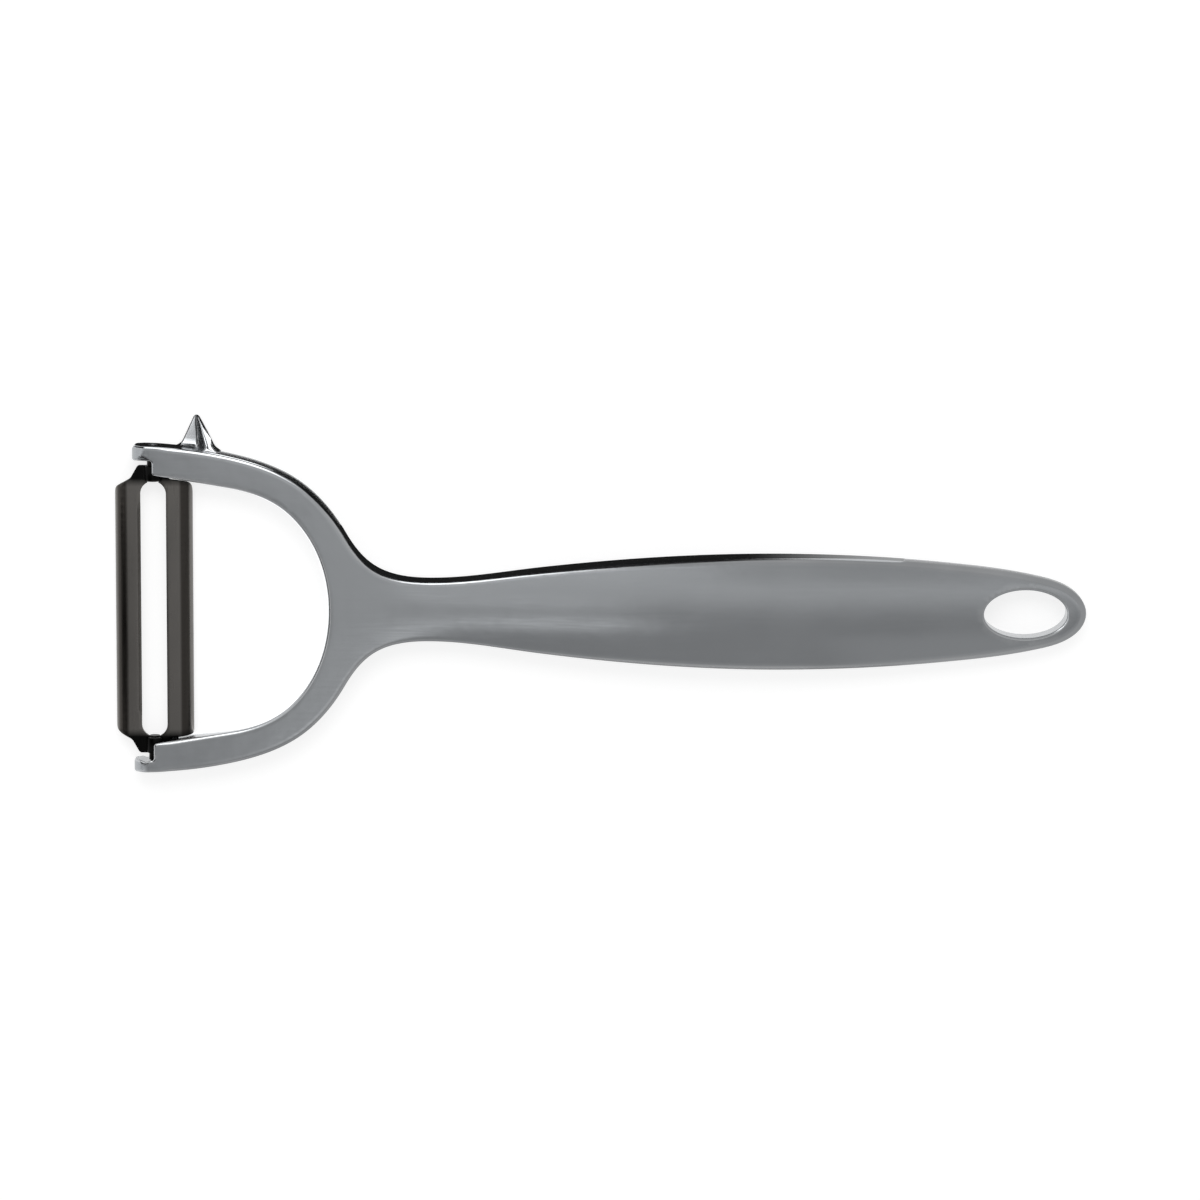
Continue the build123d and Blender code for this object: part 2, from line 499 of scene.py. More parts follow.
spur_mesh = bmesh.new()
spur_wear = spur_mesh.verts.layers.float.new("edge_wear")
spur_rings = []
flare_rise_shares = (-0.14, -0.02, 0, 0.02, 0.045, 0.075, 0.11, 0.16)
flank_rise_shares = (0.3, 0.45, 0.6, 0.75, 0.87)
tip_rise_shares = (0.94, 0.975, 0.995)
for rise in flare_rise_shares + flank_rise_shares + tip_rise_shares:
    taper = min(max(rise, 0), 1)
    wide = spur_length * (1 - taper) + spur_tip_width * taper
    deep = spur_depth * (1 - taper) + spur_tip_depth * taper
    flare = spur_flare * max(1 - taper / flare_share, 0) ** 2
    blunt = sqrt(1 - max((taper - blunt_start_share) / blunt_run_share, 0) ** 2)
    left = spur_x * (1 - taper) + (spur_point.x - spur_tip_back) * taper
    points = soft_section([
        (left + along * wide, spur_foot_z + up * deep, radius)
        for along, up, radius in spur_section_shares
    ])
    middle = sum(points, Vector((0, 0))) / len(points)
    ring = []
    for index, point in enumerate(points):
        ahead = points[(index + 1) % len(points)] - points[index - 1]
        out = Vector((ahead.y, -ahead.x)).normalized()
        spot = middle + (point - middle) * blunt + out * flare
        base = wall_y(point.x)
        y = base + rise * (spur_point.y - base)
        z = min(max(spot.y, spur_low_z), spur_high_z)
        ring.append(spur_mesh.verts.new((spot.x, y, z)))
    spur_rings.append(ring)
for low, high in zip(spur_rings, spur_rings[1:]):
    for k in range(len(low)):
        spur_mesh.faces.new((low[k - 1], high[k - 1], high[k], low[k]))
spur_mesh.faces.new(spur_rings[0])
spur_mesh.faces.new(spur_rings[-1][::-1])

# Its ridges and its point are rubbed, but not the fillets at its foot
for ring in spur_rings[6:]:
    for vertex in ring:
        vertex[spur_wear] = spur_wear_share
bmesh.ops.recalc_face_normals(spur_mesh, faces=spur_mesh.faces)
spur = finish_mesh(spur_mesh, "spur")


def carve(piece, tool, operation):
    """Joins a tool's shape to a piece, or cuts it out."""
    step = piece.modifiers.new(operation, "BOOLEAN")
    step.operation = operation
    step.solver = "EXACT"
    step.object = tool
    found = piece.evaluated_get(bpy.context.evaluated_depsgraph_get())
    mesh = bpy.data.meshes.new_from_object(found)
    piece.modifiers.clear()
    piece.data = mesh
    bpy.data.objects.remove(tool)


def turned(name, profile, segments=64):
    """A shape turned about the pivot's axis from a profile of y and radius in millimetres."""
    mesh = bmesh.new()
    rings = []
    for y, radius in profile:
        ring = []
        for step in range(segments):
            angle = 2 * pi * step / segments
            ring.append(mesh.verts.new((
                pivot_x + radius * cos(angle), y, pivot_z + radius * sin(angle),
            )))
        rings.append(ring)
    for low, high in zip(rings, rings[1:]):
        for k in range(segments):
            mesh.faces.new((low[k - 1], low[k], high[k], high[k - 1]))
    mesh.faces.new(rings[0])
    mesh.faces.new(rings[-1])
    bmesh.ops.recalc_face_normals(mesh, faces=mesh.faces)
    return finish_mesh(mesh, name)


def shade_evenly(piece, sharp):
    """Keeps a piece's steep edges sharp and evens out the shading of its large faces."""
    piece.data.set_sharp_from_angle(angle=radians(sharp))
    shading = piece.modifiers.new("even_shading", "WEIGHTED_NORMAL")
    shading.keep_sharp = True


# Holes drilled through both lugs in line, their outer mouths countersunk
bore = 1.15
mouth = 0.12
overrun = 1.0
carve(handle, spur, "UNION")
carve(handle, turned("bore_tool", [
    (-fork_half - overrun, bore + mouth + overrun),
    (mouth - fork_half, bore),
    (fork_half - mouth, bore),
    (fork_half + overrun, bore + mouth + overrun),
]), "DIFFERENCE")

# Pockets inside the arms, where the blade's necks come to rest at the end of the swing
pocket_length = 5.4
pocket_span = 56.4
pocket_height = 3.8
pocket_shift = 1.7
pocket_round = 0.4
pocket_size = (pocket_length, pocket_span, pocket_height)
pocket_place = (pivot_x + pocket_shift, 0, pivot_z)
pocket_mesh = bmesh.new()
bmesh.ops.create_cube(pocket_mesh, size=1)
bmesh.ops.scale(pocket_mesh, vec=pocket_size, verts=pocket_mesh.verts)
bmesh.ops.translate(pocket_mesh, vec=pocket_place, verts=pocket_mesh.verts)
bmesh.ops.bevel(
    pocket_mesh, geom=pocket_mesh.edges, offset=pocket_round, segments=4, profile=0.5,
    affect="EDGES",
)
carve(handle, finish_mesh(pocket_mesh, "pocket_tool"), "DIFFERENCE")
shade_evenly(handle, sharp=40)


def linear(hex_colour):
    """A colour's linear values from its sRGB hex code."""
    parts = [int(hex_colour[k:k + 2], 16) / 255 for k in (1, 3, 5)]
    return [p / 12.92 if p <= 0.04045 else ((p + 0.055) / 1.055) ** 2.4 for p in parts] + [1]


def empty_tree(owner):
    """The node tree of a material or a world, with nothing in it."""
    owner.use_nodes = True
    owner.node_tree.nodes.clear()
    return owner.node_tree


def add_node(tree, kind, sockets=None, **settings):
    """Adds a node. A socket gets a plain value, or a link from another node's output.

    A Mix node of colours has its factor at socket 0, its colours at 6 and 7, its result at 2.
    """
    made = tree.nodes.new(kind)
    for name, value in settings.items():
        setattr(made, name, value)
    for socket, value in (sockets or {}).items():
        if isinstance(value, bpy.types.NodeSocket):
            tree.links.new(value, made.inputs[socket])
        else:
            made.inputs[socket].default_value = value
    return made


# Dark chrome plate over polished zinc: a cool grey mirror, softened by fine lengthwise polishing
# lines and a shallow orange peel. Handling leaves faint smudges, and the rims are rubbed brighter.
# Real polishing lines are finer than 0.1 mm; they are drawn 0.5 mm apart so that they show.
polish_line = 0.5 * mm
polish_stretch = 0.06
orange_peel = 6 * mm
smudge = 22 * mm
plate = bpy.data.materials.new("dark_chrome_plate")
tree = empty_tree(plate)
place = add_node(tree, "ShaderNodeTexCoord").outputs["Object"]
peel_noise = add_node(tree, "ShaderNodeTexNoise", {
    "Vector": place, "Scale": 1 / orange_peel, "Detail": 2.0,
})
smudge_noise = add_node(tree, "ShaderNodeTexNoise", {
    "Vector": place, "Scale": 1 / smudge, "Detail": 3.0,
})
along_handle = add_node(tree, "ShaderNodeMapping", {
    "Vector": place, "Scale": (polish_stretch, 1, 1),
})
line_noise = add_node(tree, "ShaderNodeTexNoise", {
    "Vector": along_handle.outputs["Vector"], "Scale": 1 / polish_line, "Detail": 2.0,
})
worn = add_node(tree, "ShaderNodeAttribute", attribute_name="edge_wear")
wear_break = add_node(tree, "ShaderNodeMapRange", {
    "Value": smudge_noise.outputs["Fac"], "From Min": 0.35, "From Max": 0.65, "To Min": 0.35,
})
wear = add_node(tree, "ShaderNodeMath", {
    0: worn.outputs["Fac"], 1: wear_break.outputs["Result"],
}, operation="MULTIPLY")
plate_tone = add_node(tree, "ShaderNodeMix", {
    0: smudge_noise.outputs["Fac"], 6: linear("#a0a3a6"), 7: linear("#abaeb1"),
}, data_type="RGBA")
plate_colour = add_node(tree, "ShaderNodeMix", {
    0: wear.outputs["Value"], 6: plate_tone.outputs[2], 7: linear("#c4c6c8"),
}, data_type="RGBA")
smudge_rough = add_node(tree, "ShaderNodeMapRange", {
    "Value": smudge_noise.outputs["Fac"], "From Min": 0.3, "From Max": 0.7,
    "To Min": 0.16, "To Max": 0.23,
})
line_rough = add_node(tree, "ShaderNodeMapRange", {
    "Value": line_noise.outputs["Fac"], "From Min": 0.3, "From Max": 0.7,
    "To Min": -0.03, "To Max": 0.03,
})
plate_rough = add_node(tree, "ShaderNodeMath", {
    0: smudge_rough.outputs["Result"], 1: line_rough.outputs["Result"],
}, operation="ADD")
line_bump = add_node(tree, "ShaderNodeBump", {
    "Height": line_noise.outputs["Fac"], "Strength": 0.25, "Distance": 0.006 * mm,
})
peel_bump = add_node(tree, "ShaderNodeBump", {
    "Height": peel_noise.outputs["Fac"], "Normal": line_bump.outputs["Normal"],
    "Strength": 0.5, "Distance": 0.08 * mm,
})
surface = add_node(tree, "ShaderNodeBsdfPrincipled", {
    "Base Color": plate_colour.outputs[2], "Metallic": 1.0,
    "Roughness": plate_rough.outputs["Value"], "Normal": peel_bump.outputs["Normal"],
})
add_node(tree, "ShaderNodeOutputMaterial", {"Surface": surface.outputs["BSDF"]})
handle.data.materials.clear()
handle.data.materials.append(plate)
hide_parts("handle_casting")
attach(handle, "fork_and_handle")


# The blade: one stamped strip of stainless steel, its long sides bent back into lips. A slot down
# its middle is ground sharp along both edges. Each end is a neck rolled round its pivot pin.
slot_half_length = 24.0
slot_half_width = 2.375
sheet_half = 0.4
flat_half = 4.8
bend_middle = 2.0
lip_end = flat_half + bend_middle * pi / 2
blade_slide = 0.25
bevel_width = 0.5
bevel_slope = 1.3
bevel_end_y = 20.7
bevel_fade = 1.6
edge_break = 0.04
bevel_border = 0.05
border_drop = 0.02
lip_round = 0.14
blank_spacing = 0.5
blade_row_spacing = 0.6
blade_neck_half = 2.8
blade_neck_end = 27.0

# The flat blank's corners, each with its radius
blade_corners = [
    (-lip_end, 22.35, 2.4),
    (-4.2, 24.55, 1.4),
    (-blade_neck_half, blade_neck_end, 0.7),
    (blade_neck_half, blade_neck_end, 0.7),
    (blade_neck_half, 24.45, 0.5),
    (lip_end, 23.8, 2.6),
    (lip_end, -23.5, 1.1),
    (blade_neck_half, -24.3, 0.5),
    (blade_neck_half, -blade_neck_end, 0.7),
    (-blade_neck_half, -blade_neck_end, 0.7),
    (-4.2, -24.55, 1.4),
    (-lip_end, -22.35, 2.4),
]


def soft_line(corners, spacing, steps=8):
    """A closed outline with rounded corners, its straight runs divided."""
    points = []
    count = len(corners)
    for index, (x, y, radius) in enumerate(corners):
        here = Vector((x, y))
        before = Vector(corners[index - 1][:2]) - here
        after = Vector(corners[(index + 1) % count][:2]) - here
        reach = radius / tan(before.angle(after) / 2)
        near = here + before.normalized() * reach
        far = here + after.normalized() * reach
        weight = sin(before.angle(after) / 2)
        for step in range(steps + 1):
            t = step / steps
            parts = ((1 - t) ** 2, 2 * t * (1 - t) * weight, t ** 2)
            total = sum(parts)
            points.append((near * parts[0] + here * parts[1] + far * parts[2]) / total)
        following = corners[(index + 1) % count]
        ahead = Vector(following[:2])
        beyond = Vector(corners[(index + 2) % count][:2])
        next_reach = following[2] / tan((here - ahead).angle(beyond - ahead) / 2)
        stop = ahead + (here - ahead).normalized() * next_reach
        runs = ceil((stop - far).length / spacing)
        points += [far.lerp(stop, step / runs) for step in range(1, runs)]
    return points


def bent(spot):
    """Where a point of the flat blank goes when its long sides are bent back."""
    side = 1 if spot.x > 0 else -1
    turn = max(abs(spot.x) - flat_half, 0) / bend_middle
    if turn == 0:
        return Vector((pivot_x + spot.x, spot.y - blade_slide, pivot_z + spot.z))
    radius = bend_middle + spot.z
    x = side * (flat_half + radius * sin(turn))
    return Vector((
        pivot_x + x, spot.y - blade_slide, pivot_z - bend_middle + radius * cos(turn),
    ))


blank = bmesh.new()
blade_wear = blank.verts.layers.float.new("edge_wear")
blank_line = soft_line(blade_corners, blank_spacing)[::-1]
slot_arc_steps = 24
slot_run_steps = 72
slot_line = []
for step in range(slot_arc_steps + 1):
    angle = pi * step / slot_arc_steps
    slot_line.append(Vector((
        -slot_half_width * cos(angle),
        slot_half_length - slot_half_width + slot_half_width * sin(angle),
    )))
edge_run = slot_half_length - slot_half_width
for step in range(1, slot_run_steps):
    slot_line.append(Vector((slot_half_width, edge_run - 2 * edge_run * step / slot_run_steps)))
slot_line += [Vector((-p.x, -p.y)) for p in slot_line]


def flat_back(x, y):
    """The blank's back face, before its sides are bent."""
    return -sheet_half


def flat_front(x, y):
    """The blank's front face, before its sides are bent."""
    return sheet_half


def thin_round(x, y):
    """The radius of the strip's edges, the same all round."""
    return lip_round


def blade_spacing(x):
    """Even rows over the whole blade."""
    return blade_row_spacing


back_outline, front_outline = rounded_wall(
    blank, blade_wear, blank_line, (flat_back, flat_front), thin_round, turns=3
)
slot_rings = []
for index, point in enumerate(slot_line):
    ahead = slot_line[(index + 1) % len(slot_line)] - slot_line[index - 1]
    into = Vector((-ahead.y, ahead.x)).normalized()
    ground = bevel_width * ease((bevel_end_y - abs(point.y)) / bevel_fade)
    front_cut = max(ground if point.x < 0 else 0, edge_break)
    back_cut = max(ground if point.x > 0 else 0, edge_break)
    profile = (
        (back_cut + bevel_border, -sheet_half),
        (back_cut, -sheet_half + border_drop),
        (0, -sheet_half + bevel_slope * back_cut),
        (0, sheet_half - bevel_slope * front_cut),
        (front_cut, sheet_half - border_drop),
        (front_cut + bevel_border, sheet_half),
    )
    ring = [blank.verts.new((*(point + into * far), z)) for far, z in profile]
    for vertex in ring[2:4]:
        vertex[blade_wear] = edge_wear_share
    slot_rings.append(ring)
for index, ring in enumerate(slot_rings):
    before = slot_rings[index - 1]
    for step in range(len(ring) - 1):
        blank.faces.new((before[step], before[step + 1], ring[step + 1], ring[step]))
back_slot = [ring[0] for ring in slot_rings]
front_slot = [ring[-1] for ring in slot_rings]

# Columns close together on the bent lips, and wider on the flat middle
lip_columns = 10
lip_column_gap = 0.3
middle_columns = 18
middle_start = -4.6
middle_column_gap = 0.54
blade_columns = [-lip_end + lip_column_gap * k for k in range(1, lip_columns + 1)]
blade_columns += [middle_start + middle_column_gap * k for k in range(middle_columns)]
blade_columns += [lip_end - lip_column_gap * k for k in range(lip_columns, 0, -1)]
for outline, slot, height in (
    (front_outline, front_slot, flat_front), (back_outline, back_slot, flat_back),
):
    outline_line = [vertex.co.to_2d() for vertex in outline]
    slot_edge = [vertex.co.to_2d() for vertex in slot]

    def on_blade(x, y):
        return inside_line(outline_line, x, y) and not inside_line(slot_edge, x, y)

    cap(
        blank, [outline, slot], height, height is flat_front, on_blade, blade_columns,
        blade_spacing,
    )

# The blank is bent to shape, and its ends are rolled into tubes that hold the pins
for vertex in blank.verts:
    vertex.co = bent(vertex.co)
bmesh.ops.recalc_face_normals(blank, faces=blank.faces)
blade = finish_mesh(blank, "swinging_blade_strip")
barrel = 1.6
barrel_round = 0.3
barrel_corner = 0.09
pin_hole = 1.12
for end in (1, -1):
    first = end * slot_half_length - blade_slide
    last = end * blade_neck_end - blade_slide
    carve(blade, turned("neck_tool", [
        (first, barrel - barrel_round),
        (first + end * barrel_corner, barrel - barrel_corner),
        (first + end * barrel_round, barrel),
        (last - end * barrel_round, barrel),
        (last - end * barrel_corner, barrel - barrel_corner),
        (last, barrel - barrel_round),
    ]), "UNION")
    carve(blade, turned("pin_hole_tool", [
        (end * (slot_half_length - overrun), pin_hole),
        (end * (blade_neck_end + overrun), pin_hole),
    ]), "DIFFERENCE")
shade_evenly(blade, sharp=38)

# Rolled stainless strip, left dark: a low sheen, a fine grain along the blade and faint blotches. It
# is brighter where the slot's edges are ground. Dark reflections are painted along the bends, and
# painted shade makes the rolled necks near black. The real grain is finer than 0.1 mm; it is drawn
# at 0.35 mm so that it shows.
roll_grain = 0.35 * mm
grain_stretch = 0.03
heat_blotch = 9 * mm
# Where the painted shade on the rolled necks fades in
neck_painted_shade_from = 22.8 * mm
neck_painted_shade_to = 24.2 * mm
# Where the painted dark reflections along the bends fade in and out
bend_painted_reflection_from = (4.7 * mm, 5.2 * mm)
bend_painted_reflection_to = (6.4 * mm, 6.9 * mm)
strip = bpy.data.materials.new("rolled_blade_steel")
tree = empty_tree(strip)
place = add_node(tree, "ShaderNodeTexCoord").outputs["Object"]
axes = add_node(tree, "ShaderNodeSeparateXYZ", {"Vector": place})
along_blade = add_node(tree, "ShaderNodeMapping", {
    "Vector": place, "Scale": (1, grain_stretch, 1),
})
grain = add_node(tree, "ShaderNodeTexNoise", {
    "Vector": along_blade.outputs["Vector"], "Scale": 1 / roll_grain, "Detail": 3.0,
})
blotch = add_node(tree, "ShaderNodeTexNoise", {
    "Vector": place, "Scale": 1 / heat_blotch, "Detail": 3.0,
})
steel_tone = add_node(tree, "ShaderNodeMix", {
    0: blotch.outputs["Fac"], 6: linear("#6a6865"), 7: linear("#74716e"),
}, data_type="RGBA")
across_distance = add_node(tree, "ShaderNodeMath", {0: axes.outputs["Y"]}, operation="ABSOLUTE")
# Painted shade: the rolled necks are darkened towards near black #151515
painted_neck_shade_share = add_node(tree, "ShaderNodeMapRange", {
    "Value": across_distance.outputs["Value"],
    "From Min": neck_painted_shade_from, "From Max": neck_painted_shade_to,
})
# Painted reflection: a dark band is painted along each bend
from_middle = add_node(tree, "ShaderNodeMath", {
    0: axes.outputs["X"], 1: -pivot_x * mm,
}, operation="ADD")
bend_distance = add_node(tree, "ShaderNodeMath", {
    0: from_middle.outputs["Value"],
}, operation="ABSOLUTE")
bend_start = add_node(tree, "ShaderNodeMapRange", {
    "Value": bend_distance.outputs["Value"],
    "From Min": bend_painted_reflection_from[0], "From Max": bend_painted_reflection_from[1],
})
bend_stop = add_node(tree, "ShaderNodeMapRange", {
    "Value": bend_distance.outputs["Value"],
    "From Min": bend_painted_reflection_to[0], "From Max": bend_painted_reflection_to[1],
    "To Min": 1.0, "To Max": 0.0,
})
painted_bend_reflection_share = add_node(tree, "ShaderNodeMath", {
    0: bend_start.outputs["Result"], 1: bend_stop.outputs["Result"],
}, operation="MULTIPLY")
# Mixes the painted dark reflection #45423f into the steel along the bends
painted_bend_reflection = add_node(tree, "ShaderNodeMix", {
    0: painted_bend_reflection_share.outputs["Value"], 6: steel_tone.outputs[2], 7: linear("#45423f"),
}, data_type="RGBA")
worn = add_node(tree, "ShaderNodeAttribute", attribute_name="edge_wear")
steel_wear = add_node(tree, "ShaderNodeMath", {
    0: worn.outputs["Fac"], 1: blotch.outputs["Fac"],
}, operation="MULTIPLY")
ground = add_node(tree, "ShaderNodeMix", {
    0: steel_wear.outputs["Value"], 6: painted_bend_reflection.outputs[2], 7: linear("#8b8984"),
}, data_type="RGBA")
# Mixes the painted shade of the necks into the steel's colour
steel_and_painted_shade = add_node(tree, "ShaderNodeMix", {
    0: painted_neck_shade_share.outputs["Result"], 6: ground.outputs[2], 7: linear("#151515"),
}, data_type="RGBA")
steel_rough = add_node(tree, "ShaderNodeMapRange", {
    "Value": grain.outputs["Fac"], "From Min": 0.3, "From Max": 0.7,
    "To Min": 0.26, "To Max": 0.38,
})
grain_bump = add_node(tree, "ShaderNodeBump", {
    "Height": grain.outputs["Fac"], "Strength": 0.3, "Distance": 0.01 * mm,
})
surface = add_node(tree, "ShaderNodeBsdfPrincipled", {
    "Base Color": steel_and_painted_shade.outputs[2], "Metallic": 1.0,
    "Roughness": steel_rough.outputs["Result"], "Normal": grain_bump.outputs["Normal"],
})
add_node(tree, "ShaderNodeOutputMaterial", {"Surface": surface.outputs["BSDF"]})
blade.data.materials.clear()
blade.data.materials.append(strip)
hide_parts("swivel_blade")
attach(blade, "swinging_blade")


# The pivot pins: two short lengths of drawn steel wire, cut and bevelled. Each is pressed into a
# neck of the blade and turns freely in its lug. Drawing leaves faint marks along the wire, and the
# bevelled rims are rubbed a little brighter. The marks are drawn 0.2 mm apart so that they show.
draw_mark = 0.2 * mm
mark_stretch = 0.05
wire = bpy.data.materials.new("drawn_steel_wire")
tree = empty_tree(wire)
place = add_node(tree, "ShaderNodeTexCoord").outputs["Object"]
along_pin = add_node(tree, "ShaderNodeMapping", {
    "Vector": place, "Scale": (1, mark_stretch, 1),
})
draw_marks = add_node(tree, "ShaderNodeTexNoise", {
    "Vector": along_pin.outputs["Vector"], "Scale": 1 / draw_mark, "Detail": 2.0,
})
convex = add_node(tree, "ShaderNodeNewGeometry")
rubbed = add_node(tree, "ShaderNodeMapRange", {
    "Value": convex.outputs["Pointiness"], "From Min": 0.6, "From Max": 0.8,
})
wire_tone = add_node(tree, "ShaderNodeMix", {
    0: draw_marks.outputs["Fac"], 6: linear("#161615"), 7: linear("#1c1b1b"),
}, data_type="RGBA")
wire_colour = add_node(tree, "ShaderNodeMix", {
    0: rubbed.outputs["Result"], 6: wire_tone.outputs[2], 7: linear("#2c2b2a"),
}, data_type="RGBA")
wire_rough = add_node(tree, "ShaderNodeMapRange", {
    "Value": draw_marks.outputs["Fac"], "From Min": 0.3, "From Max": 0.7,
    "To Min": 0.28, "To Max": 0.42,
})
wire_bump = add_node(tree, "ShaderNodeBump", {
    "Height": draw_marks.outputs["Fac"], "Strength": 0.3, "Distance": 0.01 * mm,
})
surface = add_node(tree, "ShaderNodeBsdfPrincipled", {
    "Base Color": wire_colour.outputs[2], "Metallic": 1.0,
    "Roughness": wire_rough.outputs["Result"], "Normal": wire_bump.outputs["Normal"],
})
add_node(tree, "ShaderNodeOutputMaterial", {"Surface": surface.outputs["BSDF"]})
for name in ("upper_pivot_pin", "lower_pivot_pin"):
    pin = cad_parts[name]
    for slot in pin.material_slots:
        slot.material = wire


# The stage: a plain pale floor under soft light from above and behind, as on a sheet of white
# card, with grey and black cards that only the metal reflects.
floor_mesh = bmesh.new()
bmesh.ops.create_grid(floor_mesh, x_segments=1, y_segments=1, size=3000)
floor = finish_mesh(floor_mesh, "floor")
floor.location.z = -0.02 * mm


def seen_share(tree):
    """1 for rays that the eye follows, straight or by reflection, and 0 for light that spreads."""
    path = add_node(tree, "ShaderNodeLightPath")
    seen = add_node(tree, "ShaderNodeMath", {
        0: path.outputs["Is Camera Ray"], 1: path.outputs["Is Glossy Ray"],
    }, operation="MAXIMUM")
    seen_or_through = add_node(tree, "ShaderNodeMath", {
        0: seen.outputs["Value"], 1: path.outputs["Is Transmission Ray"],
    }, operation="MAXIMUM")
    return seen_or_through.outputs["Value"]


paper = bpy.data.materials.new("white_card")
tree = empty_tree(paper)
matt = add_node(tree, "ShaderNodeBsdfDiffuse", {"Color": linear("#f2f2f2")})
share = add_node(tree, "ShaderNodeMath", {
    0: seen_share(tree), 1: 0.55,
}, operation="MULTIPLY")
glow = add_node(tree, "ShaderNodeEmission", {"Strength": 1.35})
both = add_node(tree, "ShaderNodeMixShader", {
    0: share.outputs["Value"], 1: matt.outputs["BSDF"], 2: glow.outputs["Emission"],
})
add_node(tree, "ShaderNodeOutputMaterial", {"Surface": both.outputs["Shader"]})
floor.data.materials.append(paper)

world = bpy.data.worlds.new("studio")
bpy.context.scene.world = world
tree = empty_tree(world)
level = add_node(tree, "ShaderNodeMapRange", {
    "Value": seen_share(tree), "To Min": 0.55, "To Max": 1.0,
})
sky = add_node(tree, "ShaderNodeBackground", {
    "Color": (1, 1, 1, 1), "Strength": level.outputs["Result"],
})
add_node(tree, "ShaderNodeOutputWorld", {"Surface": sky.outputs["Background"]})


def reflected_only(piece, name):
    """Hides a stage card from all but reflections, and gives it an empty material."""
    piece.visible_camera = False
    piece.visible_diffuse = False
    piece.visible_transmission = False
    piece.visible_shadow = False
    finish = bpy.data.materials.new(name)
    piece.data.materials.append(finish)
    return empty_tree(finish)


def light_card(piece, tone):
    """Makes a stage card glow evenly, in reflections alone."""
    card_tree = reflected_only(piece, piece.name)
    shade = add_node(card_tree, "ShaderNodeEmission", {"Strength": tone})
    add_node(card_tree, "ShaderNodeOutputMaterial", {"Surface": shade.outputs["Emission"]})


def flat_card(name, centre, normal, width, height):
    """A flat card whose centre and sides are in millimetres and which faces a direction."""
    mesh = bmesh.new()
    bmesh.ops.create_grid(mesh, x_segments=1, y_segments=1, size=0.5)
    bmesh.ops.scale(mesh, vec=(width, height, 1), verts=mesh.verts)
    piece = finish_mesh(mesh, name)
    piece.rotation_euler = Vector(normal).to_track_quat("Z", "Y").to_euler()
    piece.location = Vector(centre) * mm
    return piece


def strip_card(name, rows):
    """A card made of faces between rows of points in millimetres."""
    mesh = bmesh.new()
    made = [[mesh.verts.new(spot) for spot in row] for row in rows]
    for before, after in zip(made, made[1:]):
        for k in range(1, len(before)):
            mesh.faces.new((before[k - 1], after[k - 1], after[k], before[k]))
    return finish_mesh(mesh, name)


# Flat cards, each with its centre, the way it faces, its width and height, and its brightness
for name, centre, facing, width, height, tone in (
    ("fork_glow", (-73, 112, 98), (0, -0.73, -0.68), 108, 135, 2.8),
    ("far_wall", (30, 145, 190), (0, -1, 0), 110, 400, 0.5),
    ("fork_bounce", (-83, 86, 0.5), (0, 0, 1), 84, 80, 1.9),
    ("spur_bounce", (-65, 39, 0.4), (0, 0, 1), 14, 15, 2.4),
    ("spur_flag", (-90, 42, 12), (1, 0, 0), 22, 20, 0.01),
    ("blade_flag", (-118, -10, 41), (0.67, 0.1, -0.73), 52, 52, 0.05),
    ("near_wall", (0, -450, 200), (0, 1, 0), 1400, 400, 0.5),
    ("tip_card", (120, 200, 250), (0, -0.62, -0.78), 170, 330, 0.55),
):
    light_card(flat_card(name, centre, facing, width, height), tone)

# Grey paper on the floor along the near side
card_rise = 0.03
upper_card_rise = 0.06
near_gap = 0.6
near_reach = 110
light_card(strip_card("near_floor", [
    ((p.x, -p.y - near_gap, card_rise), (p.x, -p.y - near_reach, card_rise)) for p in outer_line
]), 0.4)

# Black paper along the far side, which gives the handle its dark upper edge. It is tucked under
# the edge, but for a thin light line along the fork's shoulder, and turns grey towards the tip.
flag_y = 50
flag_start = -78
flag_end = 57
flag_height = 60
low_flag_height = 13
flag_slope_start = -45
flag_slope_run = 30
flag_fade_start = -15
flag_grey_start = 26 * mm
flag_grey_end = 56 * mm
least_reach = 0.05
lug_flag_reach = 8
shoulder_start = -72
shoulder_end = -48
shoulder_gap = 0.3
tucked_gap = -0.4
floor_flag_rows = []
grip_flag_rows = []
for point in outer_line:
    if point.x > flag_end:
        break
    fade = 1 - ease((point.x - flag_fade_start) / (flag_end - flag_fade_start))
    if point.x > flag_start:
        slope = ease((point.x - flag_slope_start) / flag_slope_run)
        rise = low_flag_height + (flag_height - low_flag_height) * slope
        grip_flag_rows.append(((point.x, flag_y, 0), (point.x, flag_y, rise * fade + 1)))
        reach = (flag_y - point.y) * (least_reach + (1 - least_reach) * ease(fade * 2))
    else:
        reach = lug_flag_reach
    gap = shoulder_gap if shoulder_start < point.x < shoulder_end else tucked_gap
    floor_flag_rows.append((
        (point.x, point.y + gap, card_rise), (point.x, point.y + reach, card_rise),
    ))
for name, rows in (("floor_flag", floor_flag_rows), ("grip_flag", grip_flag_rows)):
    tree = reflected_only(strip_card(name, rows), name)
    spot = add_node(tree, "ShaderNodeNewGeometry").outputs["Position"]
    axes = add_node(tree, "ShaderNodeSeparateXYZ", {"Vector": spot})
    fading = add_node(tree, "ShaderNodeMapRange", {
        "Value": axes.outputs["X"], "From Min": flag_grey_start, "From Max": flag_grey_end,
        "To Min": 0.015, "To Max": 0.5,
    }, interpolation_type="SMOOTHSTEP")
    shade = add_node(tree, "ShaderNodeEmission", {"Strength": fading.outputs["Result"]})
    add_node(tree, "ShaderNodeOutputMaterial", {"Surface": shade.outputs["Emission"]})

